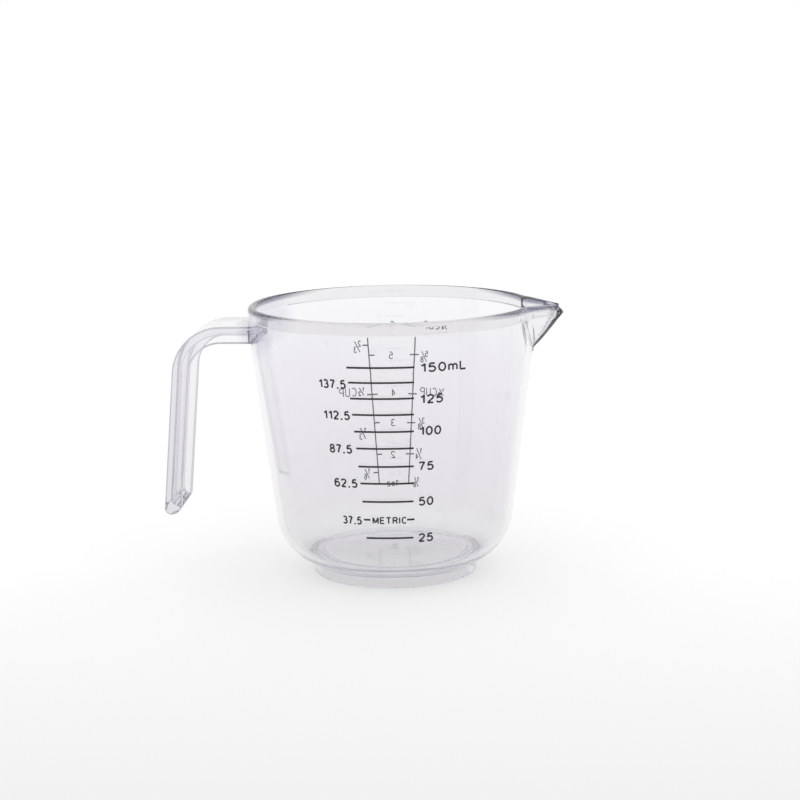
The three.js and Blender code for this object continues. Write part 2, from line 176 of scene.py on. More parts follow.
def on_section_plane(point, angle):
    radius, height = point
    return (AXIS_X + radius * MM * math.cos(angle), radius * MM * math.sin(angle), height * MM)


clear_cup = draw_line("clear_cup", [on_section_plane(p, -SPOUT_ZONE) for p in cup_section()])
bpy.ops.mesh.select_all(action="SELECT")
bpy.ops.mesh.spin(steps=SPOUT_STEPS, angle=-2 * SPOUT_ZONE, center=(AXIS_X, 0, 0), axis=(0, 0, 1))
bpy.ops.mesh.spin(steps=ROUND_STEPS, angle=2 * SPOUT_ZONE - 2 * math.pi, center=(AXIS_X, 0, 0), axis=(0, 0, 1))
bpy.ops.mesh.select_all(action="SELECT")
bpy.ops.mesh.remove_doubles(threshold=0.002 * MM)
bpy.ops.mesh.normals_make_consistent(inside=False)
bpy.ops.object.mode_set(mode="OBJECT")

# The pouring spout is the wall itself, moulded out into a cone with its point low on the wall and a round
# nose. The same form, set back by the wall's thickness, gives its inside, and the lip falls to the nose.
SPOUT_REACH = 42.3
SPOUT_WIDEST = 64.75
SPOUT_ROOT = 55.8
SPOUT_START = math.radians(16)
NOSE_RADIUS = 1.7
LIP_DROP = 0.9
SPOUT_SETBACK = 1.9
LIP_SETBACK = 2.7
SETBACK_FROM = 60
SETBACK_TO = 64.5
LIP_OVERRUN = 1.5
LIP_FALL_FROM = SPOUT_WIDEST - 2
SPOUT_BELLY = 0.86
SPOUT_BLEND = 0.9
LEAST_SHARE = 0.001


def soft_max(a, b, width):
    overlap = max(width - abs(a - b), 0) / width
    return max(a, b) + overlap**2 * width / 4


def spout_radius(angle, height, setback):
    share = min(max((height - SPOUT_ROOT) / (SPOUT_WIDEST - SPOUT_ROOT), LEAST_SHARE), 1) ** SPOUT_BELLY
    over = max(height - SPOUT_WIDEST, 0) / (CUP_HEIGHT - LIP_DROP - SPOUT_WIDEST)
    start = (RIM_RADIUS * math.cos(SPOUT_START), RIM_RADIUS * math.sin(SPOUT_START))
    nose = SPOUT_REACH - NOSE_RADIUS
    to_start = (start[0] - nose, start[1])
    tangent = math.atan2(to_start[1], to_start[0]) - math.acos(NOSE_RADIUS / math.hypot(*to_start))
    start_x = WALL_RADIUS + (start[0] - WALL_RADIUS) * share - setback
    nose_x = WALL_RADIUS + (nose - WALL_RADIUS) * share - setback - LIP_DROP * min(over, LIP_OVERRUN) ** 2
    reach = start_x * math.cos(tangent) + start[1] * share * math.sin(tangent)
    side = abs(math.sin(angle))
    line = reach / (math.cos(angle) * math.cos(tangent) + side * math.sin(tangent))
    nose_radius = NOSE_RADIUS * share
    if nose_x * side < nose_radius:
        round_nose = nose_x * math.cos(angle) + math.sqrt(nose_radius**2 - (nose_x * side) ** 2)
        return min(line, round_nose)
    return line


for vertex in clear_cup.data.vertices:
    x, y, z = vertex.co.x / MM - AXIS_X / MM, vertex.co.y / MM, vertex.co.z / MM
    angle, radius = math.atan2(y, x), math.hypot(x, y)
    if abs(angle) > SPOUT_ZONE or z < SPOUT_ROOT - 1:
        continue
    across = min(max((radius - INNER_RADIUS) / (WALL_RADIUS - INNER_RADIUS), 0), 1)
    lip = min(max((z - SETBACK_FROM) / (SETBACK_TO - SETBACK_FROM), 0), 1)
    setback = SPOUT_SETBACK + (LIP_SETBACK - SPOUT_SETBACK) * lip * lip * (3 - 2 * lip)
    outside = max(radius, WALL_RADIUS)
    inner = soft_max(INNER_RADIUS, spout_radius(angle, z, setback), SPOUT_BLEND) - INNER_RADIUS
    outer = soft_max(outside, spout_radius(angle, z, 0), SPOUT_BLEND) - outside
    radius += inner + (outer - inner) * across
    out = min(max((radius - RIM_RADIUS) / (SPOUT_REACH - RIM_RADIUS), 0), 1)
    fall = min(max((z - LIP_FALL_FROM) / (CUP_HEIGHT - LIP_FALL_FROM), 0), 1)
    z -= LIP_DROP * out * fall
    vertex.co = (AXIS_X + radius * MM * math.cos(angle), radius * MM * math.sin(angle), z * MM)

# Where the handle joins, the moulding is thickened by a pad that is flush with the band. Its lower edge is
# level behind the handle and rises to the band on both sides.
PAD_FLAT = math.radians(15)
PAD_END = math.radians(36)
PAD_TOP = BAND_BOTTOM + 0.5
PAD_RADIUS = RIM_RADIUS - 0.02
PAD_STEPS = 48
ARM_BOTTOM = 58.5
ROOT_RADIUS = WALL_RADIUS - WALL / 2
pad_profile = [
    (ROOT_RADIUS, ARM_BOTTOM), (PAD_RADIUS, ARM_BOTTOM), (PAD_RADIUS, PAD_TOP), (ROOT_RADIUS, PAD_TOP),
]
pad = draw_line("handle_pad", [on_section_plane(p, math.pi - PAD_END) for p in pad_profile])
bpy.ops.mesh.select_all(action="SELECT")
bpy.ops.mesh.edge_face_add()
bpy.ops.mesh.spin(steps=PAD_STEPS, angle=-2 * PAD_END, center=(AXIS_X, 0, 0), axis=(0, 0, 1))
bpy.ops.mesh.select_all(action="SELECT")
bpy.ops.mesh.normals_make_consistent(inside=False)
bpy.ops.object.mode_set(mode="OBJECT")
for vertex in pad.data.vertices:
    if vertex.co.z < (ARM_BOTTOM + PAD_TOP) / 2 * MM:
        angle = abs(math.atan2(vertex.co.y, AXIS_X - vertex.co.x))
        rise = max(angle - PAD_FLAT, 0) / (PAD_END - PAD_FLAT)
        vertex.co.z += (BAND_BOTTOM + BAND_ROUND - ARM_BOTTOM) * min(rise, 1) * MM


# The handle: a hooked strap of channel section, moulded on the wall in the same shot. Its side outline
# follows one path of arm, bend and grip. Its web is outside and its open side faces the cup.
HANDLE_WIDTH = box_mm("handle")[1][1] - box_mm("handle")[0][1]
HANDLE_DEPTH = 4.2
HANDLE_TOP = box_mm("handle")[1][2]
HANDLE_BOTTOM = 15.9
HANDLE_REACH = 56.7
SPLAY = math.radians(4.95)
BEND_RADIUS = 12.3
WEB = 1.8
FLANGE = 1.7
END_WALL = 1.7
FLANGE_DRAFT = math.tan(math.radians(3))
OUTER_TIP_ROUND = 1.6
FREE_TIP_ROUND = 2.6
OVERCUT = 2
HANDLE_ROUND = 0.4
BEND_STEPS = 28
CORNER_ANGLE = math.radians(40)
SMOOTH_ANGLE = math.radians(30)
BEND_HEIGHT = HANDLE_TOP - BEND_RADIUS
GRIP_SPREAD = (BEND_HEIGHT - HANDLE_BOTTOM) * math.tan(SPLAY)
BEND_REACH = HANDLE_REACH - GRIP_SPREAD - BEND_RADIUS / math.cos(SPLAY)
ARM_START = 31
ARM_LENGTH = BEND_REACH - ARM_START
SWEEP = math.pi / 2 - SPLAY
GRIP_START = ARM_LENGTH + BEND_RADIUS * SWEEP
GRIP_DROP = BEND_HEIGHT + BEND_RADIUS * math.sin(SPLAY) - HANDLE_BOTTOM
HANDLE_LENGTH = GRIP_START + GRIP_DROP / math.cos(SPLAY)


def handle_point(along, depth, across):
    if along <= ARM_LENGTH:
        x, z = -ARM_START - along, HANDLE_TOP - depth
    else:
        turn = min((along - ARM_LENGTH) / BEND_RADIUS, SWEEP)
        down = max(0, along - GRIP_START)
        x = -BEND_REACH - (BEND_RADIUS - depth) * math.sin(turn) - down * math.sin(SPLAY)
        z = BEND_HEIGHT + (BEND_RADIUS - depth) * math.cos(turn) - down * math.cos(SPLAY)
    return (AXIS_X + x * MM, across * MM, z * MM)


def plate(name, outline, width):
    piece = draw_line(name, [handle_point(along, depth, -width / 2) for along, depth in outline])
    bpy.ops.mesh.select_all(action="SELECT")
    bpy.ops.mesh.edge_face_add()
    bpy.ops.mesh.extrude_region_move(TRANSFORM_OT_translate={"value": (0, width * MM, 0)})
    bpy.ops.mesh.select_all(action="SELECT")
    bpy.ops.mesh.normals_make_consistent(inside=False)
    bpy.ops.object.mode_set(mode="OBJECT")
    return piece


def combine(piece, other, operation):
    bpy.ops.object.select_all(action="DESELECT")
    bpy.context.view_layer.objects.active = piece
    piece.select_set(True)
    join = piece.modifiers.new("join", "BOOLEAN")
    join.operation = operation
    join.solver = "EXACT"
    join.object = other
    bpy.ops.object.modifier_apply(modifier="join")
    bpy.data.objects.remove(other)


stops = [0] + [ARM_LENGTH + (GRIP_START - ARM_LENGTH) * step / BEND_STEPS for step in range(BEND_STEPS + 1)]
outer_edge = [(stop, 0) for stop in stops]
free_edge = [(stop, HANDLE_DEPTH) for stop in reversed(stops)]
outer_tip = arc((HANDLE_LENGTH - OUTER_TIP_ROUND, OUTER_TIP_ROUND), OUTER_TIP_ROUND, -math.pi / 2, 0, 6)
free_tip = arc(
    (HANDLE_LENGTH - FREE_TIP_ROUND, HANDLE_DEPTH - FREE_TIP_ROUND), FREE_TIP_ROUND, 0, math.pi / 2, 6
)
handle = plate("handle_strap", outer_edge + outer_tip + free_tip + free_edge, HANDLE_WIDTH)
recess_depth = HANDLE_DEPTH - WEB
recess_stop = HANDLE_LENGTH - END_WALL
recess_end = arc((recess_stop - recess_depth, HANDLE_DEPTH), recess_depth, -math.pi / 2, 0, 8)
recess_outline = [(stop, WEB) for stop in stops] + recess_end + [(recess_stop, HANDLE_DEPTH + OVERCUT)]
recess_outline += [(stop, HANDLE_DEPTH + OVERCUT) for stop in reversed(stops)]
recess = plate("handle_recess", recess_outline, HANDLE_WIDTH - 2 * FLANGE)
for vertex in recess.data.vertices:
    depth = min(recess_outline, key=lambda p: (vertex.co - Vector(handle_point(*p, 0))).xz.length)[1]
    vertex.co.y -= math.copysign(FLANGE_DRAFT * (HANDLE_DEPTH - depth) * MM, vertex.co.y)
combine(handle, recess, "DIFFERENCE")
soften = handle.modifiers.new("soften", "BEVEL")
soften.width = HANDLE_ROUND * MM
soften.segments = 4
soften.use_clamp_overlap = False
soften.limit_method = "ANGLE"
soften.angle_limit = CORNER_ANGLE
bpy.ops.object.modifier_apply(modifier="soften")
bpy.ops.object.select_all(action="DESELECT")
bpy.ops.mesh.primitive_cylinder_add(
    vertices=192, radius=ROOT_RADIUS * MM, depth=40 * MM, location=(AXIS_X, 0, 55 * MM)
)
trim = bpy.context.object
bpy.ops.object.transform_apply(location=True, rotation=True, scale=True)
combine(handle, trim, "DIFFERENCE")
combine(clear_cup, pad, "UNION")
combine(clear_cup, handle, "UNION")
bpy.ops.object.shade_smooth_by_angle(angle=SMOOTH_ANGLE)
flats = clear_cup.modifiers.new("flats", "WEIGHTED_NORMAL")
flats.mode = "FACE_AREA"
flats.keep_sharp = True
bpy.ops.object.modifier_apply(modifier="flats")

# The narrow rounded edges of the handle and the ring in the floor are marked by face for painted shade: the
# plastic is painted darker along them, for the light their rounding bends away. A handle face counts as one
# when it is narrower than a fifth of a millimetre.
NARROW_FACE = 0.2
RING_SHADE_SHARE = 0.8
rounded = clear_cup.data.attributes.new("painted_edge_shade", "FLOAT", "FACE")
corners = clear_cup.data.vertices
for face in clear_cup.data.polygons:
    out = math.hypot(face.center.x - AXIS_X, face.center.y) / MM
    near_floor = abs(face.center.z / MM - FLOOR_TOP) < 2 * WITNESS_DEPTH
    if near_floor and abs(out - WITNESS_RING) < WITNESS_HALF_WIDTH:
        rounded.data[face.index].value = RING_SHADE_SHARE
    if face.center.x < AXIS_X - PAD_RADIUS * MM:
        longest = max((corners[a].co - corners[b].co).length for a, b in face.edge_keys)
        rounded.data[face.index].value = float(face.area < NARROW_FACE * MM * longest)

# Clear general-purpose polystyrene, polished by the mould. Each wall that the eye looks through adds a
# faint lilac grey, more in the handle's root and the thick foot. Light and shade are painted on top: a dark
# navy at the rim's ends and a grey along the rounded edges are painted shade, and the tone by height is
# painted light just under the band and painted shade lower down, where the walls look onto the shaded floor.
# The floor's inside, the spout's nose and the handle's joint left the mould a little matt, so they look soft.
# Tones by height in mm: the lilac grey, with painted light just under the band and painted shade lower down.
WALL_TINT_AND_PAINTED_LIGHT = [
    (3.2, "#f2f1f3"), (3.7, "#f7f7f8"), (7.5, "#f7f7f8"), (11, "#f2f1f2"), (25, "#f1f0f2"),
    (54, "#f6f5f7"), (64.0, "#f9f9fa"), (64.3, "#efeeef"),
]
ROOT_TONE = "#eae9f2"
# Painted shade: a dark navy at both ends of the rim, standing in for light trapped in the plastic there.
RIM_PAINTED_SHADE = "#767993"
# Painted shade along the rounded edges and the floor's ring.
EDGE_PAINTED_SHADE = "#c4c4cb"
THICK_TONE = "#d0d0dc"
THICK_DENSITY = 24.0
FLOOR_HAZE = 0.09
SPOUT_HAZE = 0.3
ROOT_HAZE = 0.25
FLOW_HAZE = 0.006
FLOW_LENGTH = 9
FLOOR_SPOT, FLOOR_SPOT_SIZE = (AXIS_X / MM, 0, 4.6), (21, 21, 3)
SPOUT_SPOT, SPOUT_SPOT_SIZE = (AXIS_X / MM + 39.5, 0, 61), (6.5, 3, 9)
JOINT_SPOT, JOINT_SPOT_SIZE = (AXIS_X / MM - 34.5, 0, 60.5), (4.5, 14, 3.8)
ROOT_SPOT, ROOT_SPOT_SIZE = (AXIS_X / MM - 30, 0, 61), (8, 25, 8)
# Where the rim's painted shade sits, at both ends of the rim.
RIM_SHADE_SPOT, RIM_SHADE_SPOT_SIZE = (36, 6, CUP_HEIGHT), (24, 34, 1.7)
SPOT_CORE = 0.55


def linear(hex_colour):
    values = [int(hex_colour[k : k + 2], 16) / 255 for k in (1, 3, 5)]
    return tuple(v / 12.92 if v <= 0.04045 else ((v + 0.055) / 1.055) ** 2.4 for v in values) + (1,)


def add_node(owner, kind, settings=None, links=()):
    node = owner.node_tree.nodes.new(kind)
    for key, value in (settings or {}).items():
        if isinstance(key, int) or key in node.inputs:
            node.inputs[key].default_value = value
        else:
            setattr(node, key, value)
    for output, target, socket in links:
        owner.node_tree.links.new(node.outputs[output], target.inputs[socket])
    return node


def near_spot(middle, size, target, socket):
    share = add_node(
        clear_polystyrene, "ShaderNodeMapRange", {"From Min": 1.0, "From Max": SPOT_CORE},
        [("Result", target, socket)],
    )
    length = add_node(
        clear_polystyrene, "ShaderNodeVectorMath", {"operation": "LENGTH"}, [("Value", share, "Value")]
    )
    scaled = add_node(
        clear_polystyrene, "ShaderNodeVectorMath",
        {"operation": "DIVIDE", 1: [value * MM for value in size]}, [("Vector", length, 0)],
    )
    return add_node(
        clear_polystyrene, "ShaderNodeVectorMath",
        {"operation": "SUBTRACT", 1: [value * MM for value in middle]}, [("Vector", scaled, 0)],
    )


clear_polystyrene = bpy.data.materials.new("clear_moulded_polystyrene")
clear_polystyrene.use_nodes = True
clear_polystyrene.node_tree.nodes.clear()
surface = add_node(clear_polystyrene, "ShaderNodeOutputMaterial")
plastic = add_node(
    clear_polystyrene, "ShaderNodeBsdfPrincipled", {"IOR": 1.57, "Transmission Weight": 1.0},
    [("BSDF", surface, "Surface")],
)
add_node(
    clear_polystyrene, "ShaderNodeVolumeAbsorption",
    {"Color": linear(THICK_TONE), "Density": THICK_DENSITY},
    [("Volume", surface, "Volume")],
)
# Painted shade along the marked rounded edges.
edge_painted_shade = add_node(
    clear_polystyrene, "ShaderNodeMixRGB", {"blend_type": "MULTIPLY", "Color2": linear(EDGE_PAINTED_SHADE)},
    [("Color", plastic, "Base Color")],
)
add_node(
    clear_polystyrene, "ShaderNodeAttribute", {"attribute_name": "painted_edge_shade"}, [("Fac", edge_painted_shade, "Fac")]
)
# Painted shade at both ends of the rim.
rim_painted_shade = add_node(
    clear_polystyrene, "ShaderNodeMixRGB", {"blend_type": "MULTIPLY", "Color2": linear(RIM_PAINTED_SHADE)},
    [("Color", edge_painted_shade, "Color1")],
)
root_tint = add_node(
    clear_polystyrene, "ShaderNodeMixRGB", {"blend_type": "MULTIPLY", "Color2": linear(ROOT_TONE)},
    [("Color", rim_painted_shade, "Color1")],
)
# The tone by height, carrying its painted light and painted shade.
wall_ramp_with_painted_light = add_node(clear_polystyrene, "ShaderNodeValToRGB", links=[("Color", root_tint, "Color1")])
tones = wall_ramp_with_painted_light.color_ramp.elements
while len(tones) < len(WALL_TINT_AND_PAINTED_LIGHT):
    tones.new(0.5)
for tone, (level, colour) in zip(tones, WALL_TINT_AND_PAINTED_LIGHT):
    tone.position = level / CUP_HEIGHT
    tone.color = linear(colour)
rise = add_node(
    clear_polystyrene, "ShaderNodeMath", {"operation": "DIVIDE", 1: CUP_HEIGHT * MM},
    [("Value", wall_ramp_with_painted_light, "Fac")],
)
height = add_node(clear_polystyrene, "ShaderNodeSeparateXYZ", links=[("Z", rise, 0)])
haze = add_node(clear_polystyrene, "ShaderNodeMath", {"operation": "ADD"}, [("Value", plastic, "Roughness")])
flow_haze = add_node(
    clear_polystyrene, "ShaderNodeMapRange",
    {"From Min": 0.3, "From Max": 0.7, "To Min": 0.0, "To Max": FLOW_HAZE}, [("Result", haze, 0)],
)
flow = add_node(
    clear_polystyrene, "ShaderNodeTexNoise", {"Scale": 1 / (FLOW_LENGTH * MM), "Detail": 2.0},
    [("Fac", flow_haze, "Value")],
)
matt_places = add_node(clear_polystyrene, "ShaderNodeMath", {"operation": "ADD"}, [("Value", haze, 1)])
matt_ends = add_node(clear_polystyrene, "ShaderNodeMath", {"operation": "ADD"}, [("Value", matt_places, 1)])
matt_floor = add_node(
    clear_polystyrene, "ShaderNodeMath", {"operation": "MULTIPLY", 1: FLOOR_HAZE}, [("Value", matt_places, 0)]
)
matt_spout = add_node(
    clear_polystyrene, "ShaderNodeMath", {"operation": "MULTIPLY", 1: SPOUT_HAZE}, [("Value", matt_ends, 0)]
)
matt_root = add_node(
    clear_polystyrene, "ShaderNodeMath", {"operation": "MULTIPLY", 1: ROOT_HAZE}, [("Value", matt_ends, 1)]
)
floor_spot = near_spot(FLOOR_SPOT, FLOOR_SPOT_SIZE, matt_floor, 0)
spout_spot = near_spot(SPOUT_SPOT, SPOUT_SPOT_SIZE, matt_spout, 0)
joint_spot = near_spot(JOINT_SPOT, JOINT_SPOT_SIZE, matt_root, 0)
root_spot = near_spot(ROOT_SPOT, ROOT_SPOT_SIZE, root_tint, "Fac")
# Mask of the rim's painted shade, mirrored to both ends and both sides.
rim_shade_spot = near_spot(RIM_SHADE_SPOT, RIM_SHADE_SPOT_SIZE, rim_painted_shade, "Fac")
both_ends = add_node(
    clear_polystyrene, "ShaderNodeVectorMath", {"operation": "ABSOLUTE"}, [("Vector", rim_shade_spot, 0)]
)
from_axis = add_node(
    clear_polystyrene, "ShaderNodeVectorMath", {"operation": "SUBTRACT", 1: (AXIS_X, 0, 0)},
    [("Vector", both_ends, 0)],
)
add_node(clear_polystyrene, "ShaderNodeTexCoord", links=[
    ("Object", height, "Vector"), ("Object", flow, "Vector"), ("Object", floor_spot, 0),
    ("Object", spout_spot, 0), ("Object", joint_spot, 0), ("Object", root_spot, 0), ("Object", from_axis, 0),
])
clear_cup.data.materials.clear()
clear_cup.data.materials.append(clear_polystyrene)
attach(clear_cup, "root")
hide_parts("bowl", "foot_ring", "rim_band", "pouring_spout", "handle")

# The front print: black pad-printed bars, kept from the solids, with their figures beside them. Each
# letter is drawn with a round pen as strokes, flattened to a film of ink and wrapped on the wall. Letters
# and the spaces between them are given in shares of the letter's height.
INK_GAP = 0.05
INK_FILM = 0.1
LETTER_SPACE = 0.26
BOW_STEP = 20
SHARP_TURN = 0.6
FIGURE_WIDE = 0.5
FIGURE_HIGH = 0.48
FRACTION_WIDTH = 0.65
FRACTION_LOWER = 0.42
FRACTION_BAR = [(0.1, 0.02), (0.56, 0.98)]


def bow(x, y, rx, ry, start, end):
    steps = max(round(abs(end - start) / BOW_STEP), 2)
    return [
        (x + rx * math.cos(math.radians(start + (end - start) * k / steps)),
         y + ry * math.sin(math.radians(start + (end - start) * k / steps)))
        for k in range(steps + 1)
    ]


GLYPHS = {
    "0": (0.46, [bow(0.23, 0.5, 0.23, 0.5, 0, 360)]),
    "1": (0.28, [[(0.02, 0.76), (0.16, 0.8), (0.27, 1), (0.27, 0)]]),
    "2": (0.46, [bow(0.23, 0.73, 0.22, 0.27, 165, -35) + [(0.01, 0), (0.46, 0)]]),
    "3": (0.46, [bow(0.22, 0.75, 0.2, 0.25, 150, -90), bow(0.22, 0.26, 0.24, 0.26, 90, -155)]),
    "4": (0.48, [[(0.36, 0), (0.36, 1), (0, 0.28), (0.48, 0.28)]]),
    "5": (0.46, [[(0.42, 1), (0.09, 1), (0.03, 0.5)] + bow(0.22, 0.32, 0.24, 0.32, 135, -150)]),
    "6": (0.46, [bow(0.23, 0.31, 0.23, 0.31, 0, 360), bow(0.25, 0.62, 0.25, 0.38, 45, 180) + [(0, 0.31)]]),
    "7": (0.46, [[(0, 1), (0.46, 1), (0.28, 0.55), (0.17, 0)]]),
    "8": (0.46, [bow(0.23, 0.76, 0.19, 0.24, 0, 360), bow(0.23, 0.26, 0.23, 0.26, 0, 360)]),
    ".": (0.17, [[(0, 0), (0.17, 0)]]),
    "m": (0.6, [[(0, 0), (0, 0.7)], bow(0.15, 0.5, 0.15, 0.2, 180, 0) + [(0.3, 0)],
                bow(0.45, 0.5, 0.15, 0.2, 180, 0) + [(0.6, 0)]]),
    "L": (0.4, [[(0, 1), (0, 0), (0.4, 0)]]),
    "M": (0.54, [[(0, 0), (0, 1), (0.27, 0.1), (0.54, 1), (0.54, 0)]]),
    "E": (0.4, [[(0.4, 1), (0, 1), (0, 0), (0.4, 0)], [(0, 0.52), (0.36, 0.52)]]),
    "T": (0.46, [[(0, 1), (0.46, 1)], [(0.23, 1), (0.23, 0)]]),
    "R": (0.44, [[(0, 0), (0, 1), (0.24, 1)] + bow(0.24, 0.76, 0.19, 0.24, 90, -90) + [(0, 0.52)],
                 [(0.26, 0.52), (0.44, 0)]]),
    "I": (0.02, [[(0, 0), (0, 1)]]),
    "C": (0.46, [bow(0.24, 0.5, 0.24, 0.5, 45, 315)]),
    "U": (0.44, [[(0, 1), (0, 0.25)] + bow(0.22, 0.25, 0.22, 0.25, 180, 360) + [(0.44, 1)]]),
    "P": (0.44, [[(0, 0), (0, 1), (0.24, 1)] + bow(0.24, 0.74, 0.2, 0.26, 90, -90) + [(0, 0.48)]]),
    "o": (0.38, [bow(0.19, 0.34, 0.19, 0.34, 0, 360)]),
    "z": (0.34, [[(0, 0.68), (0.34, 0.68), (0, 0), (0.34, 0)]]),
}


def fraction(word):
    upper, lower = (GLYPHS[digit][1] for digit in word.split("/"))
    upper_base = 1 - FIGURE_HIGH
    top = [[(x * FIGURE_WIDE, upper_base + y * FIGURE_HIGH) for x, y in stroke] for stroke in upper]
    bottom = [[(FRACTION_LOWER + x * FIGURE_WIDE, y * FIGURE_HIGH) for x, y in stroke] for stroke in lower]
    return FRACTION_WIDTH, top + bottom + [FRACTION_BAR]


def wall_radius(height):
    return WALL_RADIUS - math.tan(LEAN) * max(LEAN_TOP - height, 0)


def split_corners(stroke):
    pieces = [[stroke[0]]]
    for before, here, after in zip(stroke, stroke[1:], stroke[2:]):
        pieces[-1].append(here)
        heading = math.atan2(here[1] - before[1], here[0] - before[0])
        turn = math.atan2(after[1] - here[1], after[0] - here[0]) - heading
        if math.cos(turn) < SHARP_TURN:
            pieces.append([here])
    pieces[-1].append(stroke[-1])
    return pieces


def print_label(text, start_degrees, middle, width, height, pen):
    letters = [fraction(word) if "/" in word else GLYPHS[word] for word in text]
    length = sum(letter[0] for letter in letters) + LETTER_SPACE * (len(letters) - 1)
    curve = bpy.data.curves.new("print", "CURVE")
    curve.dimensions = "3D"
    curve.bevel_depth = pen / 2
    curve.bevel_resolution = 1
    curve.use_fill_caps = True
    pen_x = 0
    for letter_width, strokes in letters:
        for stroke in [piece for whole in strokes for piece in split_corners(whole)]:
            spline = curve.splines.new("POLY")
            spline.points.add(len(stroke) - 1)
            for point, (x, y) in zip(spline.points, stroke):
                along = pen / 2 + (pen_x + x) / length * (width - pen)
                point.co = (along, middle - height / 2 + pen / 2 + y * (height - pen), 0, 1)
        pen_x += letter_width + LETTER_SPACE
    label = bpy.data.objects.new("print", curve)
    bpy.context.collection.objects.link(label)
    bpy.ops.object.select_all(action="DESELECT")
    bpy.context.view_layer.objects.active = label
    label.select_set(True)
    bpy.ops.object.convert(target="MESH")
    start = math.radians(start_degrees)
    for vertex in label.data.vertices:
        x, y, z = vertex.co
        angle = start + x / wall_radius(middle)
        radius = wall_radius(y) + INK_GAP + INK_FILM * (z / pen + 0.5)
        vertex.co = (AXIS_X + radius * MM * math.cos(angle), radius * MM * math.sin(angle), y * MM)
    return label


def join_print(name, labels):
    bpy.ops.object.select_all(action="DESELECT")
    for label in labels:
        label.select_set(True)
    bpy.context.view_layer.objects.active = labels[0]
    bpy.ops.object.join()
    piece = bpy.context.object
    piece.name = name
    piece.data.name = name
    return piece


# Each row: text, start in degrees round the cup, middle height, width and height in mm.
FRONT_PEN = 0.19
front_labels = [
    ("150mL", -75.7, 56.6, 11.5, 2.3), ("125", -75.8, 49.1, 5.7, 2.3), ("100", -75.9, 41.4, 5.4, 2.3),
    ("75", -76.1, 32.8, 3.8, 2.25), ("50", -75.8, 24.1, 3.65, 2.25), ("25", -75.7, 15.0, 3.65, 2.25),
    ("137.5", -116.3, 52.7, 7.0, 2.25), ("112.5", -115.4, 45.2, 6.8, 2.25), ("87.5", -113.9, 37.0, 5.75, 2.25),
    ("62.5", -113.0, 28.6, 5.85, 2.25), ("37.5", -110.4, 19.4, 4.8, 2.1), ("METRIC", -96.4, 19.55, 8.2, 1.8),
]
front_lettering = join_print(
    "front_lettering", [print_label(*label, FRONT_PEN * label[-1]) for label in front_labels]
)

# Black pad-print ink: a thin even film, nearly black, a little mottled where the pad lifted off.
MOTTLE = 0.5
black_ink = bpy.data.materials.new("black_pad_print_ink")
black_ink.use_nodes = True
black_ink.node_tree.nodes.clear()
surface = add_node(black_ink, "ShaderNodeOutputMaterial")
film = add_node(black_ink, "ShaderNodeBsdfPrincipled", {"Roughness": 0.5}, [("BSDF", surface, "Surface")])
tone = add_node(black_ink, "ShaderNodeMixRGB", {"Color1": linear("#141316"), "Color2": linear("#2c2b31")},
                [("Color", film, "Base Color")])
mottle = add_node(
    black_ink, "ShaderNodeTexNoise", {"Scale": 1 / (MOTTLE * MM), "Detail": 3.0}, [("Fac", tone, "Fac")]
)
add_node(black_ink, "ShaderNodeTexCoord", links=[("Object", mottle, "Vector")])
front_lettering.data.materials.clear()
front_lettering.data.materials.append(black_ink)
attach(front_lettering, "root")
for name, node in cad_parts.items():
    if name.startswith(("bar_", "dash_")):
        node.data.materials.clear()
        node.data.materials.append(black_ink)

# The rear print, on the outside of the far wall and so mirrored from the front: two thin rails, kept
# from the solids, with ounces between them and shares of a cup outside them, in rows as at the front.
REAR_PEN = 0.27
rear_labels = [
    (["6"], 92.4, 56.6, 1.2, 2.0), (["5"], 93.2, 48.6, 1.2, 2.0), (["4"], 92.4, 38.9, 1.15, 2.0),
    (["3"], 92.6, 31.0, 1.25, 2.0), (["2"], 92.8, 22.6, 1.3, 1.9), ("1oz", 91.0, 15.1, 3.4, 1.8),
    (["3/4", "C", "U", "P"], 67.6, 56.6, 7.3, 2.2), (["5/8"], 76.9, 48.3, 2.2, 3.1),
    (["1/2", "C", "U", "P"], 68.3, 39.2, 7.0, 2.3), (["3/8"], 77.9, 30.8, 2.0, 3.3),
    (["1/4"], 78.9, 22.9, 2.0, 3.2), (["1/8"], 80.3, 15.4, 1.7, 2.9), (["2/3"], 107.8, 51.2, 2.2, 3.2),
    (["1/2", "C", "U", "P"], 107.0, 39.5, 7.5, 2.4), (["1/3"], 107.0, 28.5, 2.2, 3.3),
    (["1/6"], 106.0, 17.8, 1.9, 3.0),
]
rear_lettering = join_print("rear_lettering", [print_label(*label, REAR_PEN) for label in rear_labels])

# Thin black ink: one light hit of the pad, so it reads as a dark grey through two walls.
THIN_MOTTLE = 0.4
thin_ink = bpy.data.materials.new("thin_pad_print_ink")
thin_ink.use_nodes = True
thin_ink.node_tree.nodes.clear()
surface = add_node(thin_ink, "ShaderNodeOutputMaterial")
film = add_node(thin_ink, "ShaderNodeBsdfPrincipled", {"Roughness": 0.55}, [("BSDF", surface, "Surface")])
tone = add_node(thin_ink, "ShaderNodeMixRGB", {"Color1": linear("#3e3d44"), "Color2": linear("#5b5a62")},
                [("Color", film, "Base Color")])
mottle = add_node(
    thin_ink, "ShaderNodeTexNoise", {"Scale": 1 / (THIN_MOTTLE * MM), "Detail": 3.0}, [("Fac", tone, "Fac")]
)
add_node(thin_ink, "ShaderNodeTexCoord", links=[("Object", mottle, "Vector")])
rear_lettering.data.materials.clear()
rear_lettering.data.materials.append(thin_ink)
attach(rear_lettering, "root")
for name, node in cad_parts.items():
    if name.startswith("rear_rail"):
        node.data.materials.clear()
        node.data.materials.append(thin_ink)

